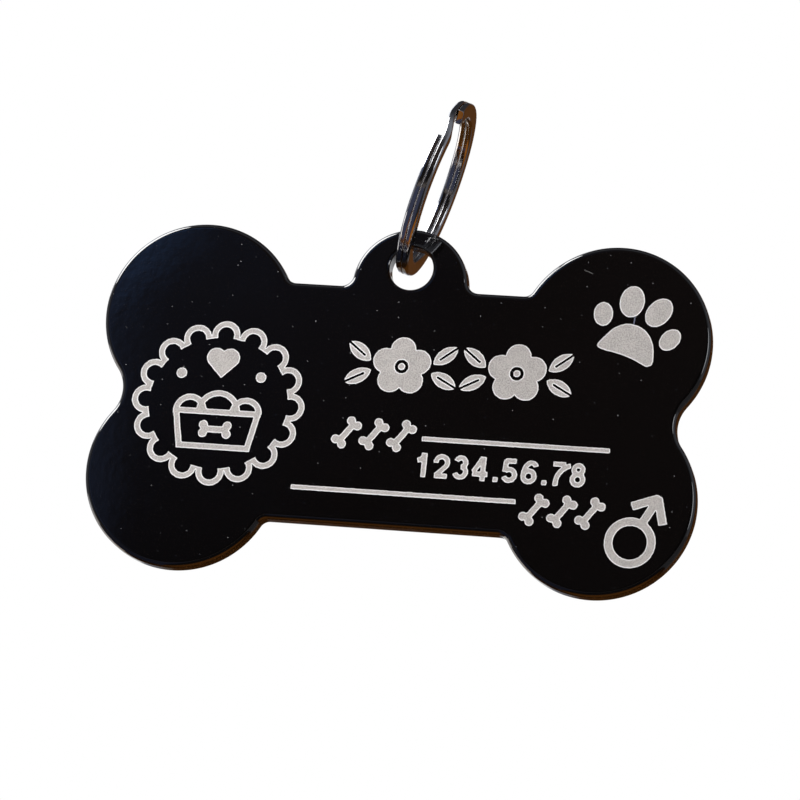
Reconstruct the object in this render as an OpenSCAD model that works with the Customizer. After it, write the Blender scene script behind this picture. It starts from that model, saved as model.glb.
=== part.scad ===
// Bone-shaped pet id tag that hangs from a split ring.
// The origin is the ring's eye, where a collar's ring carries it; +Z is up and the front faces -Y.
// Marks are drawn on the plate's front: x to the right, y up, z out of the front.

/* [Plate] */
// Length of the plate over its lobes
plate_l = 50; // [47:0.5:56]
// Height of the plate over its lobes, without the lug
plate_h = 28.9; // [28:0.1:32]
// Thickness of the plate
plate_t = 1.8; // [1.4:0.1:2.4]
// Radius of each of the four lobes
lobe_r = 7.9; // [7.4:0.1:8.4]
// Height of the waist between the lobes
waist_h = 19.8; // [18.5:0.1:21]
// Radius of the hollow between the two lobes of an end
notch_r = 2.9; // [2:0.1:4]
// Fillet where a lobe meets the waist's edge
waist_fillet_r = 0.85; // [0.5:0.05:1.5]
// Bevel along the outer edges
edge_bevel = 0.45; // [0.15:0.05:0.5]

/* [Lug] */
// Radius of the lug on the upper edge
lug_r = 4.75; // [4.5:0.05:5.5]
// Height of the lug's centre above the waist's edge
lug_rise = 0.3; // [0:0.1:1]
// Fillet where the lug meets the waist's edge
lug_fillet_r = 1; // [0.6:0.1:1.5]
// Diameter of the hole
hole_d = 3.6; // [3.4:0.1:4.2]
// Metal left between the hole and the top of the lug
web_w = 1.5; // [1.3:0.1:2]
// Bevel at both mouths of the hole
hole_bevel = 0.3; // [0.1:0.05:0.35]

/* [Split ring] */
// Outer diameter of the ring
ring_od = 15; // [14:0.5:20]
// Width of the wire, from the ring's inside to its outside
wire_w = 1.3; // [1:0.05:1.5]
// Thickness of one turn of wire along the ring's axis
wire_t = 0.55; // [0.5:0.05:0.8]
// Gap between the two turns
turn_gap = 0.06; // [0.04:0.01:0.1]
// Rounding of the wire's outer corners
wire_round = 0.28; // [0.1:0.02:0.4]
// Clearance between the wire and the hole's wall while the tag swings
swing_gap = 0.12; // [0.08:0.01:0.2]
// Lean of the ring from upright, in degrees
ring_lean = 16; // [0:1:20]
// Turn of the ring about its upright, in degrees
ring_yaw = 6; // [0:1:10]
// Place of the wire in the hole, to the left of the hole's top, in degrees
contact_angle = 55; // [0:5:70]
// Place of the step between the turns, in degrees from the tag's hole
step_angle = 235; // [200:1:320]
// Half the angle that the step between the turns takes
step_half_angle = 10; // [8:1:14]
// Angle between the step and each free end of the wire
end_angle = 4; // [3:1:8]

/* [Engraving] */
// Depth of the engraved marks' pockets
mark_depth = 0.12; // [0.08:0.01:0.2]
// Thickness of the bared metal that floors a pocket
mark_metal = 0.08; // [0.03:0.01:0.08]
// Line width of the picture
picture_line = 0.5; // [0.4:0.05:0.6]
// Width of the picture's scalloped frame
frame_w = 14.4; // [12:0.2:14.8]
// Height of the picture's scalloped frame
frame_h = 13.8; // [12:0.2:14.2]
// Width of each of the two blossoms in the name's place
blossom_w = 9.1; // [7.5:0.1:9.3]
// Height of the numbers
digit_h = 2; // [1.6:0.05:2.2]
// Width of the paw print
paw_w = 7.2; // [5.5:0.1:7.4]
// Length of one small bone
bone_l = 2.7; // [2:0.1:2.8]
// Distance from one small bone to the next
bone_pitch = 2.26; // [2.2:0.02:2.5]
// Gap between the upper rule and its row of bones
upper_bone_gap = 0.46; // [0.2:0.02:0.8]
// Gap between the lower rule and its row of bones
lower_bone_gap = 0.32; // [0.2:0.02:0.8]
// Thickness of the two rules
rule_t = 0.4; // [0.3:0.05:0.5]
// Length of the upper rule
upper_rule_l = 15.3; // [12:0.1:15.6]
// Length of the lower rule
lower_rule_l = 18.4; // [15:0.1:18.8]
// Middle radius of the male sign's ring
male_ring_r = 1.72; // [1.4:0.02:1.8]
// Line width of the male sign
male_line = 0.7; // [0.5:0.05:0.8]
// Length of the male sign's shaft, from the ring's centre to the arrow's tip
male_shaft_l = 4.2; // [3.4:0.1:4.3]
// Length of each barb of the male sign's arrow
male_barb_l = 2.2; // [1.6:0.1:2.4]

/* [Hidden] */
$fn = 96;
// Overrun of cuts past the surface they open
overrun = 0.5;
// Depth by which a hollow arc crosses the edge it blends into, so that the two meet at a clean corner
blend_bite = 0.004;

// Half sizes and centres of the plate's arcs
half_t = plate_t / 2;
waist_y = waist_h / 2;
lobe_x = plate_l / 2 - lobe_r;
lobe_y = plate_h / 2 - lobe_r;
lug_y = waist_y + lug_rise;
hole_r = hole_d / 2;
hole_y = lug_y + lug_r - web_w - hole_r;
notch_x = lobe_x + leg(lobe_r + notch_r - blend_bite, lobe_y);
waist_fillet_y = waist_y + waist_fillet_r - blend_bite;
waist_fillet_x = lobe_x - leg(lobe_r + waist_fillet_r - blend_bite, waist_fillet_y - lobe_y);
lug_fillet_y = waist_y + lug_fillet_r - blend_bite;
lug_fillet_x = leg(lug_r + lug_fillet_r - blend_bite, lug_fillet_y - lug_y);

// Ring: radii, and the pair of turns as they lie side by side
ring_r = (ring_od - wire_w) / 2;
eye_r = ring_r - wire_w / 2;
pair_t = 2 * wire_t + turn_gap;
turn_z = (wire_t + turn_gap) / 2;
// Half the width of the wire pair where it crosses the plate aslant, from face to face
pair_half_w = pair_t / 2 / cos(ring_yaw) + half_t * tan(ring_yaw);
// Farthest reach of that width from the pair's centre, at a rounded corner
pair_reach = norm([wire_w / 2 - wire_round, pair_half_w - wire_round]) + wire_round;
// Place on the plate of the wire's centre, about which the tag swings
pivot = [0, hole_y] + (hole_r - pair_reach - swing_gap) * [-sin(contact_angle), cos(contact_angle)];
// Place of that pivot below the ring's eye, and of the plate's centre
pivot_drop = 2 * eye_r + wire_w / 2;
pivot_at = [-pivot_drop * sin(ring_lean), 0, -pivot_drop * cos(ring_lean)];
tag_at = pivot_at - [pivot.x, 0, pivot.y];
// Step between the turns: half its chord, and the slope of the wire along it
step_half_l = ring_r * sin(step_half_angle);
step_slope = atan(turn_z / step_half_l);

// Places of the marks' centres, as shares of half the plate's length and half its height
picture_shares = [-0.585, -0.045];
blossom_shares = [[0.006, 0.232], [0.384, 0.232]];
upper_line_shares = [0.404, -0.174];
lower_line_shares = [0.056, -0.496];
number_shares = [0.366, -0.323];
paw_shares = [0.728, 0.45];
male_shares = [0.802, -0.682];

// Small bone of length 1: knob centres, knob radius and shaft width
bone_knob_shares = [0.36, 0.125];
bone_knob_share = 0.137;
bone_shaft_share = 0.2;
bone_tilt = 54;
// Half the width of a row of three tilted bones, and the height of each row over its rule's middle
bone_row_half = bone_pitch + bone_l * (bone_knob_shares.x * cos(bone_tilt)
    + bone_knob_shares.y * sin(bone_tilt) + bone_knob_share);
upper_bones_rise = 0.12;
lower_bones_rise = -0.55;

// Paw print of width 1: each toe's centre, half widths and tilt, and the pad's outline
toe_shares = [
    [[-0.292, 0.312], [0.108, 0.138], 5],
    [[0.018, 0.471], [0.14, 0.182], -5],
    [[0.329, 0.362], [0.134, 0.182], -36],
    [[0.481, 0.057], [0.104, 0.139], -40]
];
pad_shares = [[-0.325, -0.035], [-0.225, 0.09], [-0.13, 0.175], [0, 0.215], [0.14, 0.183],
    [0.235, 0.105], [0.3, -0.02], [0.315, -0.17], [0.303, -0.243], [0.25, -0.266],
    [0.19, -0.243], [0.09, -0.195], [-0.03, -0.15], [-0.13, -0.125], [-0.22, -0.108],
    [-0.3, -0.08]];

// Male sign: direction of its shaft, and of the barbs from the shaft
male_tilt = 62.5;
male_barb_angle = 42;

// Numbers of height 1: each stroke is a list of points, with its arcs worked out
digit_line_share = 0.21;
digit_step_share = 0.79;
dot_step_share = 0.4;
dot_share = 0.21;
digit_strokes_shares = [
    [[[0.13, 0.69], [0.27, 0.72], [0.36, 0.8], [0.4, 1]], [[0.42, 0], [0.42, 1]]],
    [concat(arc([0.345, 0.66], 0.235, 188, -38), [[0.15, 0.12]]), [[0.08, 0.1], [0.61, 0.1]]],
    [arc([0.335, 0.705], 0.19, 165, -88), arc([0.335, 0.325], 0.22, 88, -165)],
    [[[0.43, 0.97], [0.08, 0.36]], [[0.04, 0.28], [0.66, 0.28]], [[0.46, 0], [0.46, 1]]],
    [[[0.17, 0.9], [0.6, 0.9]], [[0.2, 0.95], [0.15, 0.45]], arc([0.34, 0.33], 0.225, 140, -160)],
    [concat(arc([0.73, 0.42], 0.6, 185, 140), arc([0.424, 0.677], 0.2, 135, 15))],
    [[[0.1, 0.9], [0.62, 0.9]], arc([1.02, 0.12], 0.77, 105, 189)],
    []
];
// Rings of each number: centre and middle radius
digit_rings_shares = [[], [], [], [], [], [[[0.345, 0.325], 0.22]], [],
    [[[0.345, 0.315], 0.21], [[0.345, 0.72], 0.175]]];
// Dots follow the fourth and the sixth number
dot_after = [3, 5];

// Picture: scallops round the frame, and what it frames, as shares of the frame's height
scallops = 16;
scallop_share = 0.085;
bowl_rim_shares = [0.265, -0.055];
bowl_foot_shares = [0.205, -0.265];
bowl_bone_shares = [0, -0.16];
bowl_bone_share = 0.2;
heap_shares = [[-0.165, 0.083], [0.005, 0.115], [0.172, 0.08]];
heart_shares = [0, 0.235];
heart_share = 0.2;
dot_row_shares = [[-0.24, 0.17], [0.24, 0.17]];
picture_dot_share = 0.032;

// Blossom of width 1: petals round a centre, and a pair of leaves on each side
petals = 5;
petal_share = 0.115;
petal_ring_share = 0.155;
blossom_eye_share = 0.062;
blossom_core_share = 0.032;
leaf_shares = [[0.282, 0.038, 38], [0.27, -0.045, -28]];
leaf_l_share = 0.27;
leaf_w_share = 0.135;
vein_share = 0.02;

// Second leg of a right triangle, from its long side and one leg
function leg(long_side, one_leg) = sqrt(pow(long_side, 2) - pow(one_leg, 2));

// Points along an arc round a centre, from one angle to another
function arc(centre, r, from, to, steps = 24) =
    [for (i = [0:steps]) let (a = from + (to - from) * i / steps) centre + r * [cos(a), sin(a)]];

// Points of an ellipse
function ellipse(a, b, steps = 40) =
    [for (i = [0:steps - 1]) [a * cos(360 * i / steps), b * sin(360 * i / steps)]];

// Smooth closed curve through points
function smooth(points, steps = 6) =
    let (n = len(points))
    [for (i = [0:n - 1], j = [0:steps - 1])
        between(points[(i + n - 1) % n], points[i], points[(i + 1) % n], points[(i + 2) % n], j / steps)];
function between(p0, p1, p2, p3, t) =
    (2 * p1 + (p2 - p0) * t + (2 * p0 - 5 * p1 + 4 * p2 - p3) * pow(t, 2)
        + (3 * p1 - p0 - 3 * p2 + p3) * pow(t, 3)) / 2;

// Outline of a line of even width drawn along points, with square ends
function unit(v) = v / norm(v);
function along(points, i) =
    let (before = unit(points[max(i, 1)] - points[max(i, 1) - 1]),
        after = unit(points[min(i, len(points) - 2) + 1] - points[min(i, len(points) - 2)]))
    (before + after) / (1 + before * after);
function edge_of(points, w) =
    [for (i = [0:len(points) - 1]) let (d = along(points, i)) points[i] + w / 2 * [-d.y, d.x]];
function backwards(list) = [for (i = [len(list) - 1:-1:0]) list[i]];
module stroke(points, w) {
    polygon(concat(edge_of(points, -w), backwards(edge_of(points, w))));
}

// Disc with a bevel round both faces
module bevelled_disc(r) {
    rotate_extrude()
        polygon([[0, -half_t], [r - edge_bevel, -half_t], [r, edge_bevel - half_t],
            [r, half_t - edge_bevel], [r - edge_bevel, half_t], [0, half_t]]);
}

// Cutter for a round hole or hollow that flares by a bevel at both faces
module flared_cutter(r, bevel) {
    wide = r + bevel + overrun;
    high = half_t + overrun;
    rotate_extrude()
        polygon([[0, -high], [wide, -high], [r, bevel - half_t], [r, half_t - bevel],
            [wide, high], [0, high]]);
}

// Block between the lobes, with its long edges bevelled
module waist_block() {
    inner_y = waist_y - edge_bevel;
    inner_z = half_t - edge_bevel;
    translate([-lobe_x, 0, 0])
        rotate([90, 0, 90])
            linear_extrude(2 * lobe_x)
                polygon([[-inner_y, -half_t], [inner_y, -half_t], [waist_y, -inner_z],
                    [waist_y, inner_z], [inner_y, half_t], [-inner_y, half_t],
                    [-waist_y, inner_z], [-waist_y, -inner_z]]);
}

// Metal that fills a corner of the outline up to a hollow arc
module hollow_corner(outline, centre, r) {
    difference() {
        translate([0, 0, -half_t])
            linear_extrude(plate_t)
                polygon(outline);
        translate(centre)
            flared_cutter(r, edge_bevel);
    }
}

module end_hollow() {
    hollow_corner([[lobe_x, lobe_y], [lobe_x, -lobe_y], [notch_x, 0]], [notch_x, 0, 0], notch_r);
}

module waist_corner() {
    hollow_corner([[lobe_x, lobe_y], [waist_fillet_x, waist_fillet_y], [waist_fillet_x, lobe_y]],
        [waist_fillet_x, waist_fillet_y, 0], waist_fillet_r);
}

module lug_corner() {
    hollow_corner([[0, lug_y], [lug_fillet_x, lug_fillet_y], [lug_fillet_x, lobe_y], [0, lobe_y]],
        [lug_fillet_x, lug_fillet_y, 0], lug_fillet_r);
}

module plate_blank() {
    waist_block();
    translate([0, lug_y, 0])
        bevelled_disc(lug_r);
    for (side = [0, 1])
        mirror([side, 0, 0]) {
            end_hollow();
            lug_corner();
            for (half = [0, 1])
                mirror([0, half, 0]) {
                    translate([lobe_x, lobe_y, 0])
                        bevelled_disc(lobe_r);
                    waist_corner();
                }
        }
}

// Moves a mark to its place on the plate's front
module at_share(shares) {
    translate([shares.x * plate_l / 2, shares.y * plate_h / 2])
        children();
}

// Small bone, with its length along x
module bone_shape(l) {
    scale(l) {
        square([2 * bone_knob_shares.x, bone_shaft_share], center = true);
        for (x = [-1, 1], y = [-1, 1])
            translate([x * bone_knob_shares.x, y * bone_knob_shares.y])
                circle(bone_knob_share);
    }
}

module bone_row() {
    for (i = [-1:1])
        translate([i * bone_pitch, 0])
            rotate(bone_tilt)
                bone_shape(bone_l);
}

module upper_bones_shape() {
    at_share(upper_line_shares)
        translate([-upper_rule_l / 2 - upper_bone_gap - bone_row_half, upper_bones_rise])
            bone_row();
}

module lower_bones_shape() {
    at_share(lower_line_shares)
        translate([lower_rule_l / 2 + lower_bone_gap + bone_row_half, lower_bones_rise])
            bone_row();
}

module upper_rule_shape() {
    at_share(upper_line_shares)
        square([upper_rule_l, rule_t], center = true);
}

module lower_rule_shape() {
    at_share(lower_line_shares)
        square([lower_rule_l, rule_t], center = true);
}

module paw_shape() {
    at_share(paw_shares)
        scale(paw_w) {
            polygon(smooth(pad_shares));
            for (toe = toe_shares)
                translate(toe[0])
                    rotate(toe[2])
                        polygon(ellipse(toe[1].x, toe[1].y));
        }
}

module male_shape() {
    tip = [male_shaft_l, 0];
    at_share(male_shares)
        rotate(male_tilt) {
            difference() {
                union() {
                    circle(male_ring_r + male_line / 2);
                    stroke([[male_ring_r, 0], tip], male_line);
                    for (side = [-1, 1])
                        stroke([tip, tip - male_barb_l * [cos(male_barb_angle),
                            side * sin(male_barb_angle)]], male_line);
                    polygon([tip, tip + male_line / 2 * [sin(male_barb_angle), -cos(male_barb_angle)],
                        tip + male_line / 2 * [sin(male_barb_angle), cos(male_barb_angle)]]);
                }
                circle(male_ring_r - male_line / 2);
            }
        }
}

// Row of plain numbers that count up from 1, with two dots as in a date
function dots_before(i) = len([for (d = dot_after) if (d < i) d]);
function digit_x(i) = i * digit_step_share + dots_before(i) * dot_step_share;
module digit_shape(strokes, rings) {
    difference() {
        union() {
            for (line = strokes)
                stroke(line, digit_line_share);
            for (ring = rings)
                translate(ring[0])
                    circle(ring[1] + digit_line_share / 2);
        }
        for (ring = rings)
            translate(ring[0])
                circle(ring[1] - digit_line_share / 2);
    }
}
module numbers_shape() {
    last = len(digit_strokes_shares) - 1;
    row_l = digit_x(last) + digit_step_share;
    at_share(number_shares)
        scale(digit_h)
            translate([-row_l / 2, -1 / 2]) {
                for (i = [0:last])
                    translate([digit_x(i), 0])
                        digit_shape(digit_strokes_shares[i], digit_rings_shares[i]);
                for (i = dot_after)
                    translate([digit_x(i) + digit_step_share + dot_step_share / 2 - dot_share / 2, 0])
                        square(dot_share);
            }
}

// One leaf along x, split by its vein
module leaf_shape() {
    bow_r = (pow(leaf_l_share / 2, 2) + pow(leaf_w_share / 2, 2)) / leaf_w_share;
    difference() {
        intersection_for(side = [-1, 1])
            translate([leaf_l_share / 2, side * (bow_r - leaf_w_share / 2)])
                circle(bow_r);
        translate([leaf_l_share / 4, -vein_share / 2])
            square([leaf_l_share, vein_share]);
    }
}

// Five-petalled blossom between two pairs of leaves
module blossom_shape() {
    scale(blossom_w) {
        difference() {
            for (i = [0:petals - 1])
                rotate(90 + 360 * i / petals)
                    translate([petal_ring_share, 0])
                        circle(petal_share);
            circle(blossom_eye_share);
        }
        circle(blossom_core_share);
        for (side = [0, 1], leaf = leaf_shares)
            mirror([side, 0])
                translate([leaf.x, leaf.y])
                    rotate(leaf.z)
                        leaf_shape();
    }
}

module blossoms_shape() {
    for (place = blossom_shares)
        at_share(place)
            blossom_shape();
}

// Area inside the scalloped frame's outline, drawn in by a margin
module scalloped_area(margin) {
    scallop_r = scallop_share * frame_h;
    a = frame_w / 2 - scallop_r;
    b = frame_h / 2 - scallop_r;
    polygon(ellipse(a - margin / 2, b - margin / 2));
    for (point = ellipse(a, b, scallops))
        translate(point)
            circle(scallop_r - margin);
}

module heart_shape(size) {
    lobe = size / (1 + sqrt(2));
    rotate(45) {
        square(2 * lobe * cos(45), center = true);
        translate([0, lobe * cos(45)])
            circle(lobe * cos(45));
        translate([lobe * cos(45), 0])
            circle(lobe * cos(45));
    }
}

// Feeding bowl in line with a bone on its side, food above the rim and a heart over it
module bowl_shape() {
    rim = bowl_rim_shares * frame_h;
    foot = bowl_foot_shares * frame_h;
    stroke([[-rim.x, rim.y], [rim.x, rim.y]], picture_line);
    for (side = [-1, 1])
        stroke([[side * (rim.x - picture_line / 2), rim.y], [side * foot.x, foot.y]], picture_line);
    stroke([[-foot.x - picture_line / 2, foot.y], [foot.x + picture_line / 2, foot.y]], picture_line);
    translate(bowl_bone_shares * frame_h)
        bone_shape(bowl_bone_share * frame_h);
    for (heap = heap_shares)
        stroke(arc([heap.x * frame_h, rim.y], heap.y * frame_h, 0, 180), picture_line);
    translate(heart_shares * frame_h)
        heart_shape(heart_share * frame_h);
    for (place = dot_row_shares)
        translate(place * frame_h)
            circle(picture_dot_share * frame_h);
}

module picture_shape() {
    at_share(picture_shares) {
        difference() {
            scalloped_area(0);
            scalloped_area(picture_line);
        }
        bowl_shape();
    }
}

// Pocket of a mark in the plate's front
module pocket() {
    translate([0, 0, half_t - mark_depth])
        linear_extrude(mark_depth + overrun)
            children();
}

// Bared metal on the floor of a mark's pocket
module bared() {
    on_tag()
        color("gainsboro")
            translate([0, 0, half_t - mark_depth])
                linear_extrude(mark_metal)
                    children();
}

// Stands what is drawn flat in the place where the tag hangs
module on_tag() {
    translate(tag_at)
        rotate([90, 0, 0])
            children();
}

module tag_plate() {
    on_tag()
        color("#16181c")
            difference() {
                plate_blank();
                translate([0, hole_y, 0])
                    flared_cutter(hole_r, hole_bevel);
                pocket() picture_shape();
                pocket() blossoms_shape();
                pocket() numbers_shape();
                pocket() paw_shape();
                pocket() male_shape();
                pocket() upper_bones_shape();
                pocket() lower_bones_shape();
                pocket() upper_rule_shape();
                pocket() lower_rule_shape();
            }
}

module picture_mark() {
    bared() picture_shape();
}

module blossom_marks() {
    bared() blossoms_shape();
}

module number_marks() {
    bared() numbers_shape();
}

module paw_mark() {
    bared() paw_shape();
}

module male_mark() {
    bared() male_shape();
}

module upper_bone_marks() {
    bared() upper_bones_shape();
}

module lower_bone_marks() {
    bared() lower_bones_shape();
}

module upper_rule_mark() {
    bared() upper_rule_shape();
}

module lower_rule_mark() {
    bared() lower_rule_shape();
}

// Section of a bar with two rounded corners on its far side, its near side on the x axis
module rounded_section(h) {
    translate([-wire_w / 2, 0])
        square([wire_w, h - wire_round]);
    translate([wire_round - wire_w / 2, 0])
        square([wire_w - 2 * wire_round, h]);
    for (side = [-1, 1])
        translate([side * (wire_w / 2 - wire_round), h - wire_round])
            circle(wire_round);
}

// One turn of wire beside the ring's middle plane, from one angle to another
module turn(from, to) {
    rotate([0, 0, from])
        rotate_extrude(angle = to - from)
            translate([ring_r, turn_gap / 2])
                rounded_section(wire_t);
}

// Wire that steps from one turn to the other, cut to the pair's outline
module turn_step() {
    slab_w = 2 * wire_w;
    slab_l = 2 * (step_half_l / cos(step_slope) + turn_z);
    intersection() {
        translate([ring_r, 0, 0])
            rotate([step_slope, 0, 0])
                cube([slab_w, slab_l, wire_t], center = true);
        for (face = [0, 1])
            mirror([0, 0, face])
                rotate_extrude()
                    translate([ring_r, 0])
                        rounded_section(pair_t / 2);
    }
}

// Two turns of wire side by side, joined by one step. It is made flat, with the step at angle 0
module ring_flat() {
    rotate([0, 0, step_angle]) {
        turn_step();
        turn(step_half_angle, 360 - step_half_angle - end_angle);
        mirror([0, 0, 1])
            turn(step_half_angle + end_angle, 360 - step_half_angle);
    }
}

module split_ring() {
    color("silver")
        rotate([0, ring_lean, 0])
            rotate([0, 0, ring_yaw])
                translate([0, 0, -eye_r])
                    rotate([0, 90, 0])
                        ring_flat();
}

split_ring();
tag_plate();
picture_mark();
blossom_marks();
number_marks();
paw_mark();
male_mark();
upper_bone_marks();
lower_bone_marks();
upper_rule_mark();
lower_rule_mark();
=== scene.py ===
import math

import bpy
import numpy as np
from mathutils import Euler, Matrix, Vector, geometry, kdtree, noise


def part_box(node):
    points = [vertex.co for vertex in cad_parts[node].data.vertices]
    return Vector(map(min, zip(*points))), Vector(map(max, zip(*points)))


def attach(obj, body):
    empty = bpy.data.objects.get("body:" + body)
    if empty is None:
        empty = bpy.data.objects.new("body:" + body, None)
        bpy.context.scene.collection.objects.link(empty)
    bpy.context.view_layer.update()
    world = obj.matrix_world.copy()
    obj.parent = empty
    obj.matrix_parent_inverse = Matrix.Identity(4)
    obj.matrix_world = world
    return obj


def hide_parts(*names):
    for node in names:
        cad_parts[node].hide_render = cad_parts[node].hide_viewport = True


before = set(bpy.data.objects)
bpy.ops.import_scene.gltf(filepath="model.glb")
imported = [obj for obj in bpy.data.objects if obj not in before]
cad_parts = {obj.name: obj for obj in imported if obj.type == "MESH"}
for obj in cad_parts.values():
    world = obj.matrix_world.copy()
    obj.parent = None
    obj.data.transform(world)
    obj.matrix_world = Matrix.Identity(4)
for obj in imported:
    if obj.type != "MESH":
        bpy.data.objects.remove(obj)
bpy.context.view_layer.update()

MM = 0.001
WHITE = (1.0, 1.0, 1.0)

# Normals of the plate's two faces, in the shared frame
FRONT = (0, -1, 0)
BACK = (0, 1, 0)

# Plate, in millimetres, in its own frame: x to the right, y up, z out of the front
PLATE_L = 50.0
PLATE_H = 28.9
HALF_T = 0.9
LOBE_R = 7.9
WAIST_Y = 9.9
NOTCH_R = 2.9
WAIST_FILLET_R = 0.85
LUG_R = 4.75
LUG_RISE = 0.3
LUG_FILLET_R = 1.0
HOLE_R = 1.8
WEB_W = 1.5
EDGE_ROUND = 0.45
HOLE_ROUND = 0.3
ROUND_STEPS = 8
OUTLINE_STEP = 0.16
ARC_MIN_STEPS = 3
SAME_POINT = 1e-4
HOLE_STEPS = 96

LOBE_X = PLATE_L / 2 - LOBE_R
LOBE_Y = PLATE_H / 2 - LOBE_R
LUG_Y = WAIST_Y + LUG_RISE
HOLE_Y = LUG_Y + LUG_R - WEB_W - HOLE_R

# Engraving, in millimetres below the front and along it
MARK_DEPTH = 0.12
MARK_TOP = 0.015
MARK_STEP = 0.06
MARK_SMOOTHINGS = 2
MARK_WOBBLE = 0.032
MARK_WOBBLE_SIZE = 0.13
RIM_W = 0.12
MARK_NODES = ["picture_mark", "blossom_marks", "number_marks", "paw_mark", "male_mark",
              "upper_bone_marks", "lower_bone_marks", "upper_rule_mark", "lower_rule_mark"]

# Reading the marks from their solids: steps of a point's key, and which faces are in front, by the y of
# the normal and by a depth in metres
KEYS_PER_MM = 1e4
FACES_FRONT = -0.9
FRONT_DEPTH = 1e-5
SHORTEST = 1e-9

# Cutting the faces into triangles: the kind of result that covers the whole hull, and the tolerance
WHOLE_HULL = 0
CUT_EPSILON = 1e-6

# Split ring, in millimetres and degrees
RING_OD = 15.0
WIRE_W = 1.3
WIRE_T = 0.55
TURN_GAP = 0.06
WIRE_ROUND = 0.28
WIRE_INNER_ROUND = 0.07
WIRE_END_ROUND = 0.07
RING_LEAN = 16
RING_YAW = 6
STEP_ANGLE = 235
STEP_HALF = 13
FREE_END = 14
RING_STEP = 1.5
RISE_STEP = 0.5
CORNER_STEPS = 6

# Free ends of the wire: the way in from the end, and how far the section shrinks there. Both are
# shares of WIRE_END_ROUND.
END_STEPS = [(0, 1), (0.3, 0.3), (1, 0)]

RING_R = (RING_OD - WIRE_W) / 2
EYE_R = RING_R - WIRE_W / 2
TURN_Z = (WIRE_T + TURN_GAP) / 2

# Where the plate hangs, from the box of its solid
plate_low, plate_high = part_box("tag_plate")
PLATE_AT = Vector(((plate_low.x + plate_high.x) / 2, 0, plate_low.z + PLATE_H / 2 * MM))


def on_plate(x, y, z):
    """A point of the plate's frame, in the shared frame."""
    return (PLATE_AT.x + x * MM, -z * MM, PLATE_AT.z + y * MM)


def turned(normal):
    """A direction of the plate's frame, in the shared frame."""
    return (normal[0], -normal[2], normal[1])


def leg(long_side, one_leg):
    """The other leg of a right-angled triangle."""
    return math.sqrt(long_side ** 2 - one_leg ** 2)


def direction(start, end):
    """Angle of the way from one point to another, in degrees."""
    return math.degrees(math.atan2(end[1] - start[1], end[0] - start[0]))


def arc(centre, radius, start, end):
    """Points and outward normals along an arc; one that runs clockwise is a hollow."""
    count = max(ARC_MIN_STEPS, round(abs(math.radians(end - start)) * radius / OUTLINE_STEP))
    side = 1 if end > start else -1
    found = []
    for i in range(count + 1):
        a = math.radians(start + (end - start) * i / count)
        c, s = math.cos(a), math.sin(a)
        found.append(((centre[0] + radius * c, centre[1] + radius * s), (side * c, side * s)))
    return found


def mirrored(points, x_sign, y_sign):
    """The points with one or both signs changed, and still counter-clockwise."""
    found = [((x_sign * p[0], y_sign * p[1]), (x_sign * n[0], y_sign * n[1])) for p, n in points]
    return found if x_sign * y_sign > 0 else found[::-1]


def without_repeats(points):
    """The points of a closed outline, without those that repeat the one before them."""
    found = []
    for p, n in points:
        if not found or math.dist(p, found[-1][0]) > SAME_POINT:
            found.append((p, n))
    if math.dist(found[0][0], found[-1][0]) < SAME_POINT:
        found.pop()
    return found


def plate_outline():
    """Points and outward normals round the plate, counter-clockwise from the hollow at the right end."""
    lobe = (LOBE_X, LOBE_Y)
    notch = (LOBE_X + leg(LOBE_R + NOTCH_R, LOBE_Y), 0)
    waist_y = WAIST_Y + WAIST_FILLET_R
    waist = (LOBE_X - leg(LOBE_R + WAIST_FILLET_R, waist_y - LOBE_Y), waist_y)
    lug = (0, LUG_Y)
    fillet_y = WAIST_Y + LUG_FILLET_R
    fillet = (leg(LUG_R + LUG_FILLET_R, fillet_y - LUG_Y), fillet_y)
    half_notch = arc(notch, NOTCH_R, 180, direction(notch, lobe))
    lobe_arc = arc(lobe, LOBE_R, direction(lobe, notch), direction(lobe, waist))
    waist_arc = arc(waist, WAIST_FILLET_R, direction(waist, lobe), -90)
    fillet_arc = arc(fillet, LUG_FILLET_R, 270, direction(fillet, lug) % 360)
    half_lug = arc(lug, LUG_R, direction(lug, fillet), 90)
    quarter = half_notch + lobe_arc + waist_arc
    upper_right = quarter + fillet_arc + half_lug
    points = upper_right + mirrored(upper_right, -1, 1)
    points += mirrored(quarter, -1, -1) + mirrored(quarter, 1, -1)
    return without_repeats(points)


def hole_outline():
    """Points round the hole, counter-clockwise, with normals that point into the hole."""
    found = []
    for i in range(HOLE_STEPS):
        a = 2 * math.pi * i / HOLE_STEPS
        c, s = math.cos(a), math.sin(a)
        found.append(((HOLE_R * c, HOLE_Y + HOLE_R * s), (-c, -s)))
    return found


def round_profile(radius):
    """Steps of inset, height, and normal from the front face over the edge to the back face."""
    front = []
    for i in range(ROUND_STEPS + 1):
        a = math.pi / 2 * i / ROUND_STEPS
        front.append((radius * (1 - math.sin(a)), HALF_T - radius * (1 - math.cos(a)),
                      math.sin(a), math.cos(a)))
    return front + [(inset, -z, out, -up) for inset, z, out, up in reversed(front)]


def inner_points(outline, radius):
    """Points of an outline, moved in from its edge by the radius of its rounding."""
    return np.array([(p[0] - radius * n[0], p[1] - radius * n[1]) for p, n in outline])


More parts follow.
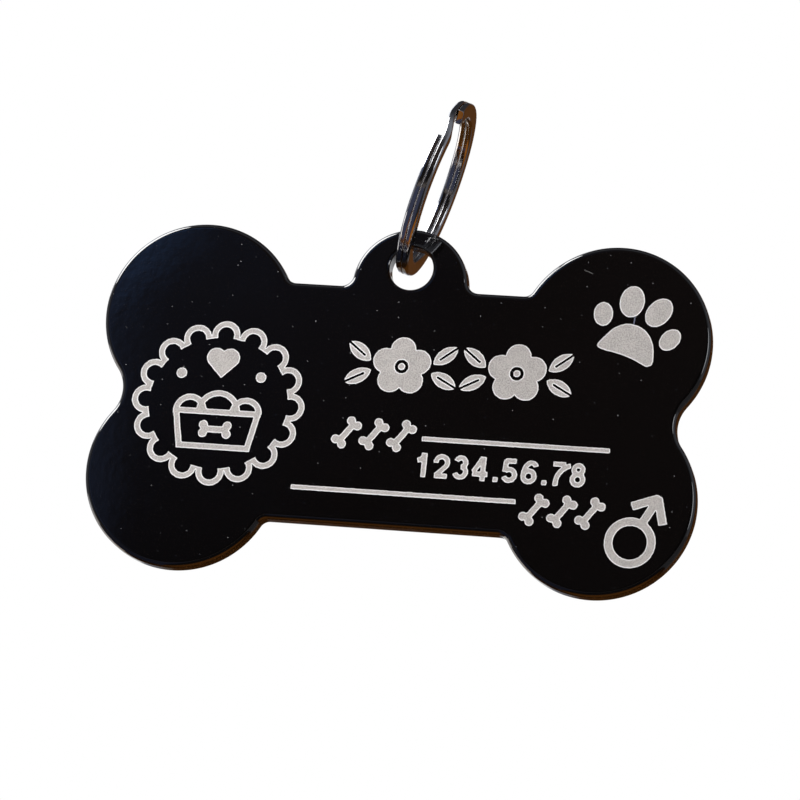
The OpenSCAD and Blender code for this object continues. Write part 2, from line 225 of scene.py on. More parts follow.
class Build:
    """Vertices and faces of one mesh, with a normal for each corner and one value for each vertex."""

    def __init__(self):
        self.verts, self.faces, self.normals, self.values = [], [], [], []

    def vert(self, point, value=0.0):
        self.verts.append(point)
        self.values.append(value)
        return len(self.verts) - 1

    def face(self, corners, normals):
        self.faces.append(corners)
        self.normals.extend(normals)

    def flat(self, corners, normal):
        self.face(corners, [normal] * len(corners))

    def finish(self, name, attribute=None):
        """Object of the mesh. The values are kept in it only where an attribute is named."""
        mesh = bpy.data.meshes.new(name)
        mesh.from_pydata(self.verts, [], self.faces)
        mesh.validate()
        mesh.shade_smooth()
        mesh.normals_split_custom_set(self.normals)
        if attribute:
            layer = mesh.attributes.new(attribute, "FLOAT", "POINT")
            layer.data.foreach_set("value", np.array(self.values, np.float32))
        piece = bpy.data.objects.new(name, mesh)
        bpy.context.scene.collection.objects.link(piece)
        return piece


class Sheet:
    """Vertices of a mesh on one level of the plate, each made when it is first asked for.

    Where a tree of the marks' outlines is given, a vertex's value is its distance from them: 0 on an
    outline, and 1 from the width of a rim."""

    def __init__(self, build, points, z, made=None, outlines=None):
        self.build, self.points, self.z = build, points, z
        self.made = dict(made or {})
        self.outlines = outlines

    def value(self, x, y):
        if self.outlines is None:
            return 0.0
        return min(1.0, self.outlines.find((x, y, 0))[2] / RIM_W)

    def vert(self, i):
        if i not in self.made:
            x, y = self.points[i]
            self.made[i] = self.build.vert(on_plate(x, y, self.z), self.value(x, y))
        return self.made[i]


def loft(build, outline, profile, inward):
    """Wall that follows the profile round an outline. Returns its first and last rings of vertices."""
    rings = []
    for inset, z, out, _ in profile:
        rings.append([build.vert(on_plate(p[0] - inset * n[0], p[1] - inset * n[1], z), out)
                      for p, n in outline])
    count = len(outline)
    for k in range(len(profile) - 1):
        for i in range(count):
            j = (i + 1) % count
            corners = [(i, k), (i, k + 1), (j, k + 1), (j, k)]
            if inward:
                corners.reverse()
            normals = []
            for at, step in corners:
                n = outline[at][1]
                _, _, out, up = profile[step]
                normals.append(turned((n[0] * out, n[1] * out, up)))
            build.face([rings[step][at] for at, step in corners], normals)
    return rings[0], rings[-1]


def around(corners):
    """Pairs of neighbours round a closed row of corners."""
    return zip(corners, corners[1:] + corners[:1])


def plate_key(co):
    """Whole numbers for a point of the plate, so that equal points match."""
    x, y = (co.x - PLATE_AT.x) / MM, (co.z - PLATE_AT.z) / MM
    return (round(x * KEYS_PER_MM), round(y * KEYS_PER_MM))


def take(after, key):
    """Removes one of the points that follow a point, and returns it."""
    found = after[key].pop()
    if not after[key]:
        del after[key]
    return found


def border_edges(node):
    """For each point on the border of a mark's front, the points that follow it."""
    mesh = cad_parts[node].data
    front = min(v.co.y for v in mesh.vertices)
    used = {}
    for face in mesh.polygons:
        if face.normal.y > FACES_FRONT or abs(face.center.y - front) > FRONT_DEPTH:
            continue
        keys = [plate_key(mesh.vertices[i].co) for i in face.vertices]
        for a, b in around(keys):
            if (b, a) in used:
                del used[(b, a)]
            else:
                used[(a, b)] = True
    after = {}
    for a, b in used:
        after.setdefault(a, []).append(b)
    return after


def mark_loops(node):
    """Outlines of a mark, from the front faces of its solid, as loops of plate points."""
    after = border_edges(node)
    loops = []
    while after:
        start = next(iter(after))
        loop = [start]
        at = take(after, start)
        while at != start:
            loop.append(at)
            at = take(after, at)
        loops.append([(x / KEYS_PER_MM, y / KEYS_PER_MM) for x, y in loop])
    return loops


def fine_loop(loop):
    """A loop with close points, rounded corners and an edge that wobbles as an engraver's does.

    Returns its points, and at each of them the direction into the mark."""
    points = []
    for a, b in around(loop):
        count = max(1, math.ceil(math.dist(a, b) / MARK_STEP))
        points += [(a[0] + (b[0] - a[0]) * i / count, a[1] + (b[1] - a[1]) * i / count)
                   for i in range(count)]
    points = np.array(points)
    for _ in range(MARK_SMOOTHINGS):
        points = (np.roll(points, 1, 0) + 2 * points + np.roll(points, -1, 0)) / 4
    along = np.roll(points, -1, 0) - np.roll(points, 1, 0)
    along /= np.maximum(np.linalg.norm(along, axis=1), SHORTEST)[:, None]
    left = np.stack([-along[:, 1], along[:, 0]], 1)
    wobble = np.array([noise.noise(Vector((x, y, 0)) / MARK_WOBBLE_SIZE) for x, y in points])
    points = points + left * (MARK_WOBBLE * wobble)[:, None]
    return points, left


def inside(point, loops):
    """Whether a point is in the area that loops bound, by the count of edges to its right."""
    crossings = 0
    for loop in loops:
        a, b = loop, np.roll(loop, -1, 0)
        spans = (a[:, 1] > point[1]) != (b[:, 1] > point[1])
        a, b = a[spans], b[spans]
        x = a[:, 0] + (point[1] - a[:, 1]) * (b[:, 0] - a[:, 0]) / (b[:, 1] - a[:, 1])
        crossings += int((x > point[0]).sum())
    return crossings % 2 == 1


def front_lines(outer, hole, marks):
    """Points of the front, and the edges that close each outline.

    The last points have no edges: they lie inside the marks, where their rims end."""
    coords, edges = [], []
    loops = [loop for found in marks.values() for loop in found]
    for points in [outer, hole] + [points for points, _ in loops]:
        first, count = len(coords), len(points)
        coords += [Vector(p) for p in points]
        edges += [(first + i, first + (i + 1) % count) for i in range(count)]
    for points, left in loops:
        coords += [Vector(p) for p in points + left * RIM_W]
    return coords, edges


def face_edges(face):
    return [tuple(sorted(e)) for e in around(face)]


def walled_groups(faces, walls):
    """Groups of faces that meet at edges which aren't walls."""
    beside = {}
    for at, face in enumerate(faces):
        for e in face_edges(face):
            beside.setdefault(e, []).append(at)
    reached = set()
    groups = []
    for seed in range(len(faces)):
        if seed in reached:
            continue
        reached.add(seed)
        group, stack = [], [seed]
        while stack:
            at = stack.pop()
            group.append(at)
            for e in face_edges(faces[at]):
                if e not in walls:
                    fresh = [other for other in beside[e] if other not in reached]
                    reached.update(fresh)
                    stack += fresh
        groups.append(group)
    return groups


def centre_of(points):
    return sum((Vector(p) for p in points), Vector((0, 0))) / len(points)


def owner_of(triangles, outer, hole, marks):
    """Name of the mark that a group of triangles is in, or else coat or outside."""
    largest = max(triangles, key=lambda corners: abs(geometry.area_tri(*corners)))
    centre = centre_of(largest)
    if not inside(centre, [outer, hole]):
        return "outside"
    for node, loops in marks.items():
        if inside(centre, [points for points, _ in loops]):
            return node
    return "coat"


def front_triangles(outer, hole, marks):
    """Points of the front, its triangles with the owner of each, and where each given point went."""
    coords, edges = front_lines(outer, hole, marks)
    verts, out_edges, faces, from_verts, from_edges, _ = geometry.delaunay_2d_cdt(
        coords, edges, [], WHOLE_HULL, CUT_EPSILON)
    walls = {tuple(sorted(e)) for e, origins in zip(out_edges, from_edges) if origins}
    owners = {}
    for group in walled_groups(faces, walls):
        owner = owner_of([[verts[i] for i in faces[at]] for at in group], outer, hole, marks)
        owners.update((at, owner) for at in group)
    triangles = [(face, owners[at]) for at, face in enumerate(faces) if owners[at] != "outside"]
    went = {origin: at for at, origins in enumerate(from_verts) for origin in origins}
    return verts, triangles, went


def cap_back(build, outer, hole, rings):
    """Flat back face between the outline and the hole."""
    coords = [Vector(p) for p in (*outer, *hole)]
    n, m = len(outer), len(hole)
    edges = [(i, (i + 1) % n) for i in range(n)] + [(n + i, n + (i + 1) % m) for i in range(m)]
    cut = geometry.delaunay_2d_cdt(coords, edges, [], WHOLE_HULL, CUT_EPSILON)
    faces, from_verts = cut[2], cut[3]
    for face in faces:
        source = [from_verts[i][0] for i in face]
        if inside(centre_of([coords[i] for i in source]), [outer, hole]):
            build.flat([rings[i] for i in reversed(source)], BACK)


def wall_normal(a, b):
    """Normal of the wall under an edge of a face, which looks away from that face."""
    d = (Vector(b) - Vector(a)).normalized()
    return turned((d.y, -d.x, 0))


def cap_front(build, verts, triangles, owner_at, made):
    """Front face, with the floors of the marks and the walls round them."""
    front = Sheet(build, verts, HALF_T, made=made)
    floor = Sheet(build, verts, HALF_T - MARK_DEPTH)
    for face, owner in triangles:
        sheet = front if owner == "coat" else floor
        build.flat([sheet.vert(i) for i in face], FRONT)
    for (a, b), owner in owner_at.items():
        if owner == "coat" and owner_at.get((b, a), "coat") != "coat":
            build.flat([front.vert(b), front.vert(a), floor.vert(a), floor.vert(b)],
                       wall_normal(verts[a], verts[b]))


def make_mark(node, verts, faces, owner_at, outlines):
    """Layer of bared metal: front, back and the wall round each outline."""
    build = Build()
    top = Sheet(build, verts, HALF_T - MARK_TOP, outlines=outlines)
    bottom = Sheet(build, verts, HALF_T - MARK_DEPTH, outlines=outlines)
    for face in faces:
        build.flat([top.vert(i) for i in face], FRONT)
        build.flat([bottom.vert(i) for i in reversed(face)], BACK)
        for a, b in around(face):
            if owner_at.get((b, a)) != node:
                build.flat([top.vert(b), top.vert(a), bottom.vert(a), bottom.vert(b)],
                           wall_normal(verts[a], verts[b]))
    return build.finish(node + "_metal", "rim")


def outline_tree(marks):
    """Tree that finds the nearest point on the outlines of the marks."""
    found = [p for loops in marks.values() for points, _ in loops for p in points]
    tree = kdtree.KDTree(len(found))
    for at, (x, y) in enumerate(found):
        tree.insert((x, y, 0), at)
    tree.balance()
    return tree


def make_plate_and_marks():
    """The plate, with a pocket for each mark, and the layers of bared metal in the pockets."""
    outline, rim = plate_outline(), hole_outline()
    marks = {node: [fine_loop(loop) for loop in mark_loops(node)] for node in MARK_NODES}
    outer, hole = inner_points(outline, EDGE_ROUND), inner_points(rim, HOLE_ROUND)
    verts, triangles, went = front_triangles(outer, hole, marks)
    owner_at = {edge: owner for face, owner in triangles for edge in around(face)}
    plate = Build()
    edge_front, edge_back = loft(plate, outline, round_profile(EDGE_ROUND), False)
    hole_front, hole_back = loft(plate, rim, round_profile(HOLE_ROUND), True)
    cap_back(plate, outer, hole, edge_back + hole_back)
    made = {went[i]: vert for i, vert in enumerate(edge_front + hole_front)}
    cap_front(plate, verts, triangles, owner_at, made)
    pieces = {"plate": plate.finish("plate", "wall")}
    outlines = outline_tree(marks)
    for node in MARK_NODES:
        faces = [face for face, owner in triangles if owner == node]
        pieces[node] = make_mark(node, verts, faces, owner_at, outlines)
    return pieces


def smooth_step(t):
    t = min(1.0, max(0.0, t))
    return t * t * (3 - 2 * t)


def wire_section(far_low, shrink):
    """Points and normals round the wire's section, which is smaller all round by shrink.

    The corners away from the other turn are rounder: the low ones where far_low is 1, the high ones
    where it is 0."""
    low = WIRE_INNER_ROUND + (WIRE_ROUND - WIRE_INNER_ROUND) * far_low
    high = WIRE_INNER_ROUND + (WIRE_ROUND - WIRE_INNER_ROUND) * (1 - far_low)
    half_w, half_t = WIRE_W / 2, WIRE_T / 2
    points = []
    for u, v, r, start in [(1, 1, high, 0), (-1, 1, high, 90), (-1, -1, low, 180), (1, -1, low, 270)]:
        for i in range(CORNER_STEPS + 1):
            a = math.radians(start + 90 * i / CORNER_STEPS)
            c, s = math.cos(a), math.sin(a)
            point = (u * (half_w - r) + (r - shrink) * c, v * (half_t - r) + (r - shrink) * s)
            points.append((point, (c, s)))
    return points


def rotated(a, b, degrees):
    """Two coordinates turned in their plane, from the first towards the second."""
    c, s = math.cos(math.radians(degrees)), math.sin(math.radians(degrees))
    return a * c - b * s, a * s + b * c


def on_ring(x, y, z):
    """A point or direction of the flat ring's frame, turned to how the ring hangs."""
    x, y = rotated(x, y, STEP_ANGLE)
    x, z = z, -x
    x, y = rotated(x, y, RING_YAW)
    z, x = rotated(z, x, RING_LEAN)
    return x, y, z


def ring_point(x, y, z):
    """A point of the flat ring's frame, in the shared frame: the top of the eye is at the origin."""
    lean = math.radians(RING_LEAN)
    drop = (-EYE_R * math.sin(lean), 0, -EYE_R * math.cos(lean))
    return tuple((a + b) * MM for a, b in zip(on_ring(x, y, z), drop))


def turn_share(angle):
    """0 on the wire's first turn and 1 on its second, with a smooth step between them."""
    return smooth_step((angle - (360 - STEP_HALF)) / (2 * STEP_HALF))


def wire_frame(angle):
    """The wire at an angle of its path: centre, radial, axial and forward directions, and far_low."""
    share = turn_share(angle)
    rise = (turn_share(angle + RISE_STEP) - share) * 2 * TURN_Z / (math.radians(RISE_STEP) * RING_R)
    a = math.radians(angle)
    radial = Vector((math.cos(a), math.sin(a), 0))
    along = Vector((-math.sin(a), math.cos(a), rise)).normalized()
    centre = radial * RING_R + Vector((0, 0, TURN_Z * (2 * share - 1)))
    return centre, radial, radial.cross(along), along, 1 - share


def wire_stations():
    """Angles along the two turns, each with how far the wire's section shrinks there."""
    first, last = FREE_END, 720 - FREE_END
    count = round((last - first) / RING_STEP)
    trim = math.degrees(WIRE_END_ROUND / RING_R)
    start = [(first + way * trim, share * WIRE_END_ROUND) for way, share in END_STEPS]
    middle = [(first + (last - first) * i / count, 0) for i in range(1, count)]
    end = [(last - way * trim, share * WIRE_END_ROUND) for way, share in reversed(END_STEPS)]
    return start + middle + end


def make_ring():
    """The split ring: one wire that runs round twice, with its second turn beside the first."""
    build = Build()
    rings, normals, ways = [], [], []
    for angle, shrink in wire_stations():
        centre, radial, axial, along, far_low = wire_frame(angle)
        ring, ring_normals = [], []
        for (u, v), (nu, nv) in wire_section(far_low, shrink):
            ring.append(build.vert(ring_point(*(centre + radial * u + axial * v))))
            ring_normals.append(on_ring(*(radial * nu + axial * nv)))
        rings.append(ring)
        normals.append(ring_normals)
        ways.append(along)
    size = len(rings[0])
    for k in range(len(rings) - 1):
        for i in range(size):
            j = (i + 1) % size
            corners = [(k, i), (k + 1, i), (k + 1, j), (k, j)]
            build.face([rings[a][b] for a, b in corners], [normals[a][b] for a, b in corners])
    build.flat(rings[0], on_ring(*(-ways[0])))
    build.flat(rings[-1][::-1], on_ring(*ways[-1]))
    return build.finish("ring_wire")


class Tree:
    """Shader nodes of one material, or of the world."""

    def __init__(self, owner):
        owner.use_nodes = True
        self.nodes, self.links = owner.node_tree.nodes, owner.node_tree.links
        self.nodes.clear()

    def add(self, kind, inputs=None, **settings):
        """New node with these settings. Its inputs are given by name or number, as in fill."""
        node = self.nodes.new("ShaderNode" + kind)
        for name, value in settings.items():
            setattr(node, name, value)
        self.fill(node, inputs or {})
        return node

    def fill(self, node, inputs):
        """Links each input that is given as a socket, and sets the others."""
        for key, value in inputs.items():
            socket = node.inputs[key]
            if isinstance(value, bpy.types.NodeSocket):
                self.links.new(value, socket)
            elif socket.type == "RGBA":
                socket.default_value = (*value, 1)
            else:
                socket.default_value = value

    def coords(self):
        """Place in the object's own frame, in metres."""
        return self.add("TexCoord").outputs["Object"]

    def attribute(self, name):
        """Value that the mesh keeps at its vertices under a name."""
        return self.add("Attribute", attribute_name=name).outputs["Fac"]

    def noise(self, coords, values):
        """Noise with the scale, detail and roughness that the values give."""
        return self.add("TexNoise", {"Vector": coords, **values}).outputs["Fac"]

    def number(self, operation, a, b):
        """A number worked out from two numbers."""
        return self.add("Math", {0: a, 1: b}, operation=operation).outputs[0]

    def vector(self, operation, a, b):
        """A vector worked out from two vectors, or from a vector and a number where it is scaled."""
        second = "Scale" if operation == "SCALE" else 1
        return self.add("VectorMath", {0: a, second: b}, operation=operation).outputs["Vector"]

    def measure(self, operation, *vectors):
        """A number worked out from one or two vectors."""
        return self.add("VectorMath", dict(enumerate(vectors)), operation=operation).outputs["Value"]

    def remap(self, value, span, to, smooth=False):
        """A value moved from one span to another, and kept within that one."""
        kind = "SMOOTHSTEP" if smooth else "LINEAR"
        inputs = dict(enumerate([value, *span, *to]))
        return self.add("MapRange", inputs, interpolation_type=kind).outputs[0]

    def mix(self, share, a, b):
        """Colour between a, where the share is 0, and b, where it is 1."""
        return self.add("Mix", {0: share, 6: a, 7: b}, data_type="RGBA").outputs[2]

    def bump(self, height, distance, under=None):
        """Normal that a height bends, on top of the bump under it."""
        inputs = {"Height": height, "Distance": distance}
        if under is not None:
            inputs["Normal"] = under
        return self.add("Bump", inputs).outputs[0]


def new_material(name):
    """Material with a principled shader, which the caller fills."""
    material = bpy.data.materials.new(name)
    tree = Tree(material)
    shader = tree.add("BsdfPrincipled")
    tree.add("OutputMaterial", {"Surface": shader.outputs[0]})
    return material, tree, shader


# Coat. In all materials a noise's scale is per metre and a bump's height is in metres.
COAT = (0.0012, 0.0010, 0.0011)
COAT_IOR = 2.0
COAT_ROUGH = (0.035, 0.075)
SMUDGE = {"Scale": 120, "Detail": 4.0, "Roughness": 0.6}
SMUDGE_SPAN = (0.35, 0.75)
PEEL = {"Scale": 1400, "Detail": 2.0}
PEEL_H = 0.0000012

# Painted reflection of brown on the coat's side walls, where the wall attribute comes near 1
PAINTED_WALL_BROWN = (0.020, 0.009, 0.003)
WALL_SPAN = (0.80, 1.0)
WALL_ROUGH = 0.08
STREAK = {"Scale": 900, "Detail": 3.0}
STREAK_SPAN = (0.3, 0.7)
STREAK_SHARE = (0.6, 1.0)

# Dust on the faces, where the wall attribute is near 0. Its pitch and radius are in millimetres.
DUST = (0.15, 0.15, 0.16)
DUST_PITCH = 1.7
DUST_R = 0.045
DUST_CORE = 0.55
DUST_POWER = 3.5
DUST_ROUGH = 0.5
DUST_H = 0.00002
FACE_SPAN = (0.0, 0.2)

# Scratches in the coat: start, end and width in millimetres, and colour. They fade out over a span of
# the width from their middle line, and over a span of the half thickness from the front.
SCRATCHES = [((14.22, 12.30), (14.90, 12.03), 0.10, (0.075, 0.075, 0.075)),
             ((18.68, 8.75), (18.62, 7.85), 0.13, (0.13, 0.14, 0.19))]
SCRATCH_SPAN = (0.2, 0.5)
FRONT_SPAN = (-0.99, -0.9)


def dust_mask(tree, flat, wall):
    """Specks of dust on the faces: a few bright ones, most of them faint."""
    specks = tree.add("TexVoronoi", {"Vector": flat, "Scale": 1 / (DUST_PITCH * MM)},
                      voronoi_dimensions="2D")
    reach = DUST_R / DUST_PITCH
    spot = tree.remap(specks.outputs["Distance"], (DUST_CORE * reach, reach), (1, 0))
    chance = tree.add("SeparateColor", {0: specks.outputs["Color"]}).outputs[0]
    spot = tree.number("MULTIPLY", spot, tree.number("POWER", chance, DUST_POWER))
    return tree.number("MULTIPLY", spot, tree.remap(wall, FACE_SPAN, (1, 0)))


def stroke_mask(tree, flat, start, end, width):
    """1 along a short straight scratch between two points of the plate, in millimetres."""
    a, b = [Vector((PLATE_AT.x + x * MM, PLATE_AT.z + y * MM, 0)) for x, y in (start, end)]
    span = b - a
    off = tree.vector("SUBTRACT", flat, a)
    along = tree.measure("DOT_PRODUCT", off, span / span.length_squared)
    along = tree.remap(along, (0, 1), (0, 1))
    gap = tree.measure("DISTANCE", off, tree.vector("SCALE", span, along))
    return tree.remap(gap, [share * width * MM for share in SCRATCH_SPAN], (1, 0))


def scratched(tree, colour, flat, depth):
    """A colour with the scratches over it, on the front only."""
    front = tree.remap(depth, [share * HALF_T * MM for share in FRONT_SPAN], (1, 0))
    for start, end, width, tone in SCRATCHES:
        mask = stroke_mask(tree, flat, start, end, width)
        colour = tree.mix(tree.number("MULTIPLY", mask, front), colour, tone)
    return colour


def coat_material():
    """Black mirror-gloss coat, with a faint orange peel, dust, and a painted brown reflection on its
    side walls.
    """
    material, tree, shader = new_material("black_coat_gloss")
    coords = tree.coords()
    x, depth, z = tree.add("SeparateXYZ", {0: coords}).outputs
    flat = tree.add("CombineXYZ", {0: x, 1: z}).outputs[0]
    wall = tree.attribute("wall")
    dust = dust_mask(tree, flat, wall)
    streak = tree.remap(tree.noise(coords, STREAK), STREAK_SPAN, STREAK_SHARE)
    # Mask of the painted brown reflection on the side walls; it also adds roughness there
    cut = tree.number("MULTIPLY", tree.remap(wall, WALL_SPAN, (0, 1), smooth=True), streak)
    colour = tree.mix(cut, COAT, PAINTED_WALL_BROWN)
    colour = tree.mix(dust, colour, DUST)
    colour = scratched(tree, colour, flat, depth)
    rough = tree.remap(tree.noise(coords, SMUDGE), SMUDGE_SPAN, COAT_ROUGH)
    rough = tree.number("ADD", rough, tree.number("MULTIPLY", dust, DUST_ROUGH))
    rough = tree.number("ADD", rough, tree.number("MULTIPLY", cut, WALL_ROUGH))
    peel = tree.bump(tree.noise(coords, PEEL), PEEL_H)
    normal = tree.bump(dust, DUST_H, under=peel)
    tree.fill(shader, {"Base Color": colour, "Roughness": rough, "IOR": COAT_IOR, "Normal": normal})
    return material


# Bared metal
BARED = (0.51, 0.483, 0.468)
BARED_DARK = (0.29, 0.276, 0.268)
BARED_METALLIC = 0.25
BARED_IOR = 1.5
GRAIN = {"Scale": 9000, "Detail": 2.0, "Roughness": 0.7}
GRAIN_SHARE = 0.86
GRAIN_H = 0.000012
CLOUD = {"Scale": 1500, "Detail": 2.0}
LEVEL_SPAN = (0.395, 0.575)
BARED_ROUGH_SPAN = (0.3, 0.7)
BARED_ROUGH = (0.5, 0.68)
HATCH = {"Scale": 3200, "Distortion": 1.2, "Detail": 1.0}
HATCH_H = 0.000004

# Painted highlight along the rims of the bared metal, where the rim attribute is low
BARED_RIM_HIGHLIGHT = (0.86, 0.86, 0.87)
RIM_SPAN = (0.35, 0.95)
RIM_SHARE = (0.95, 0.0)


def bared_material():
    """Metal bared by the engraver: a fine grain with hatching, and a painted highlight along its rims.
    """
    material, tree, shader = new_material("bared_metal_grain")
    coords = tree.coords()
    grain = tree.noise(coords, GRAIN)
    cloud = tree.noise(coords, CLOUD)
    level = tree.number("ADD", tree.number("MULTIPLY", grain, GRAIN_SHARE),
                        tree.number("MULTIPLY", cloud, 1 - GRAIN_SHARE))
    colour = tree.mix(tree.remap(level, LEVEL_SPAN, (0, 1)), BARED_DARK, BARED)
    # Painted highlight along the rims, strongest on the outlines
    rim = tree.remap(tree.attribute("rim"), RIM_SPAN, RIM_SHARE)
    colour = tree.mix(rim, colour, BARED_RIM_HIGHLIGHT)
    rough = tree.remap(grain, BARED_ROUGH_SPAN, BARED_ROUGH)
    hatch = tree.add("TexWave", {"Vector": coords, **HATCH}, bands_direction="Z").outputs["Fac"]
    normal = tree.bump(hatch, HATCH_H, under=tree.bump(grain, GRAIN_H))
    tree.fill(shader, {"Base Color": colour, "Roughness": rough, "Normal": normal,
                       "Metallic": BARED_METALLIC, "IOR": BARED_IOR})
    return material


# Ring metal
RING_METAL = (0.74, 0.745, 0.76)
RING_WORN = (0.60, 0.60, 0.605)
WEAR = {"Scale": 700, "Detail": 4.0, "Roughness": 0.6}
WEAR_SPAN = (0.35, 0.7)
RING_ROUGH_SPAN = (0.3, 0.7)
RING_ROUGH = (0.07, 0.15)
FINE_WEAR = {"Scale": 5000, "Detail": 3.0, "Roughness": 0.6}
FINE_WEAR_H = 0.0000015


def ring_material():
    """Bright nickel plate, cloudy with wear and finely pitted."""
    material, tree, shader = new_material("ring_metal_plate")
    coords = tree.coords()
    wear = tree.noise(coords, WEAR)
    colour = tree.mix(tree.remap(wear, WEAR_SPAN, (0, 1)), RING_METAL, RING_WORN)
    rough = tree.remap(wear, RING_ROUGH_SPAN, RING_ROUGH)
    normal = tree.bump(tree.noise(coords, FINE_WEAR), FINE_WEAR_H)
    tree.fill(shader, {"Base Color": colour, "Roughness": rough, "Metallic": 1.0, "Normal": normal})
    return material


def glow_material(name, colour, strength=None):
    """Material that only shines, with a strength of 1 or one that a function works out in its tree."""
    material = bpy.data.materials.new(name)
    tree = Tree(material)
    glow = tree.add("Emission", {"Color": colour})
    if strength:
        tree.fill(glow, {"Strength": strength(tree)})
    tree.add("OutputMaterial", {"Surface": glow.outputs[0]})
    return material


def plane(name, corners, material):
    """Flat face of the stage."""
    mesh = bpy.data.meshes.new(name)
    mesh.from_pydata(corners, [], [tuple(range(len(corners)))])
    thing = bpy.data.objects.new(name, mesh)
    mesh.materials.append(material)
    bpy.context.scene.collection.objects.link(thing)
    return thing


def level_plane(name, left, right, near, far, z, material):
    return plane(name, [(left, near, z), (right, near, z), (right, far, z), (left, far, z)], material)


# Floor, in metres like all of the stage
FLOOR_Z = -0.30
FLOOR_HALF = 1.6
FLOOR_COLOUR = (0.80, 0.68, 0.53)
FLOOR_TONE = (0.72, 0.60, 0.46)
FLOOR_NOISE = {"Scale": 30, "Detail": 4.0}
FLOOR_SPAN = (0.3, 0.7)
FLOOR_SHARE = (0, 0.08)
FLOOR_ROUGH = 0.7


def make_floor():
    material, tree, shader = new_material("floor_paint")
    tone = tree.remap(tree.noise(tree.coords(), FLOOR_NOISE), FLOOR_SPAN, FLOOR_SHARE)
    colour = tree.mix(tone, FLOOR_COLOUR, FLOOR_TONE)
    tree.fill(shader, {"Base Color": colour, "Roughness": FLOOR_ROUGH})
    level_plane("floor", -FLOOR_HALF, FLOOR_HALF, -FLOOR_HALF, FLOOR_HALF, FLOOR_Z, material)


# White board behind the tag
BOARD_Y = 1.1
BOARD_LEFT = -0.62
BOARD_RIGHT = -0.04
BOARD_LOW = -0.06
BOARD_HIGH = 0.62
BOARD_STRENGTH = (0.35, 1.0)


def board_strength(tree):
    """Full for rays from the camera and for mirrored ones, and less for the light that it gives."""
    path = tree.add("LightPath")
    seen = tree.number("ADD", path.outputs["Is Camera Ray"], path.outputs["Is Glossy Ray"])
    return tree.remap(seen, (0, 1), BOARD_STRENGTH)


def make_backdrop():
    """White board behind the tag, which the camera and the metal both see."""
    corners = [(BOARD_LEFT, BOARD_Y, BOARD_LOW), (BOARD_RIGHT, BOARD_Y, BOARD_LOW),
               (BOARD_RIGHT, BOARD_Y, BOARD_HIGH), (BOARD_LEFT, BOARD_Y, BOARD_HIGH)]
    plane("backdrop", corners, glow_material("backdrop_board", WHITE, board_strength))


# Cards under the tag, which stand for what its gloss mirrors: brown in the middle, and slate, shade
# and grey round it
CARD_Z = -0.20
CARD_LEFT = -0.072
CARD_RIGHT = 0.24
CARD_FRONT = -0.08
CARD_BACK = 0.75
FAR_LEFT = -0.5
FAR_RIGHT = 1.1
FAR_FRONT = -0.7
FAR_BACK = 1.3
BROWN_LEFT = -0.20
BROWN_RIGHT = 0.40
SLATE_BACK = 0.0
BROWN_COLOUR = (0.065, 0.023, 0.0040)
SLATE_COLOUR = (0.044, 0.050, 0.085)
SHADE_COLOUR = (0.020, 0.020, 0.022)
GREY_COLOUR = (0.11, 0.11, 0.12)

# Bright spot of the brown cards: its middle, its squeeze from front to back, the distances between
# which it fades, and its strength inside and outside them
SPOT_AT = (0.06, 0.005, CARD_Z)
SPOT_SQUEEZE = (1.0, 1.7, 1.0)
SPOT_SPAN = (0.10, 0.17)
SPOT_STRENGTH = (5.0, 1.0)


def gloss_card(name, left, right, near, far, material):
    """Flat card under the tag that only the gloss sees."""
    card = level_plane(name, left, right, near, far, CARD_Z, material)
    card.visible_camera = card.visible_diffuse = card.visible_shadow = False


def spot_strength(tree):
    """Strength that is highest in an oval spot."""
    away = tree.vector("SUBTRACT", tree.coords(), SPOT_AT)
    away = tree.measure("LENGTH", tree.vector("MULTIPLY", away, SPOT_SQUEEZE))
    return tree.remap(away, SPOT_SPAN, SPOT_STRENGTH, smooth=True)


def make_brown_cards():
    """Brown that the lower edges mirror, brightest below the tag and to the right of it."""
    brown = glow_material("brown_card", BROWN_COLOUR, spot_strength)
    gloss_card("brown_card", CARD_LEFT, CARD_RIGHT, CARD_FRONT, CARD_BACK, brown)
    gloss_card("brown_card_back", CARD_LEFT, BROWN_RIGHT, CARD_BACK, FAR_BACK, brown)
    gloss_card("brown_card_left", BROWN_LEFT, CARD_LEFT, SLATE_BACK, FAR_BACK, brown)


def make_side_cards():
    """Dim blue and grey that the ring and the faces mirror beside the brown."""
    slate = glow_material("slate_card", SLATE_COLOUR)
    shade = glow_material("shade_card", SHADE_COLOUR)
    grey = glow_material("grey_card", GREY_COLOUR)
    gloss_card("slate_card", FAR_LEFT, CARD_LEFT, FAR_FRONT, SLATE_BACK, slate)
    gloss_card("shade_card", CARD_LEFT, CARD_RIGHT, FAR_FRONT, CARD_FRONT, shade)
    gloss_card("grey_card", CARD_RIGHT, FAR_RIGHT, FAR_FRONT, CARD_BACK, grey)


def toward(azimuth, elevation):
    """Direction from the tag; azimuth 0 is the front, and turns to the right."""
    a, e = math.radians(azimuth), math.radians(elevation)
    return Vector((math.sin(a) * math.cos(e), -math.cos(a) * math.cos(e), math.sin(e)))


